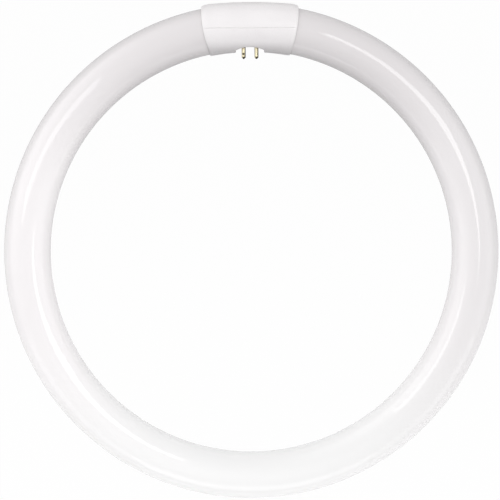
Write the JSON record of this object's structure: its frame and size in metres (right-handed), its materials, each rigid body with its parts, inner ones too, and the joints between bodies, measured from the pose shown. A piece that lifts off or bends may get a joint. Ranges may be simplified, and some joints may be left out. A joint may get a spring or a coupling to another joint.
{
  "type": "circular fluorescent tube",
  "caption": "Ring-shaped fluorescent lamp: a white glass tube bent into a circle, its ends joined in a white base cap whose contact pins face the centre of the ring.",
  "frame": {"origin": "centre of the ring, on the middle plane of the glass tube", "axes": "+Z along the axis of the ring, +Y from the centre to the middle of the base cap, so the contact pins point along -Y"},
  "size_m": [0.305, 0.306, 0.0306],
  "materials": {
    "coated_glass": "clear glossy glass, coated white inside",
    "cap_plastic": "white moulded plastic, satin",
    "pin_brass": "pale brass, drawn",
    "lead_metal": "plain wire"
  },
  "bodies": {
    "root": {"glass_tube": "coated_glass", "cap_outer_half": "cap_plastic", "cap_inner_half": "cap_plastic", "contact_pin_left_front": "pin_brass", "contact_pin_left_rear": "pin_brass", "contact_pin_right_front": "pin_brass", "contact_pin_right_rear": "pin_brass", "lead_wire_left_front": "lead_metal", "lead_wire_left_rear": "lead_metal", "lead_wire_right_front": "lead_metal", "lead_wire_right_rear": "lead_metal"}
  },
  "joints": []
}
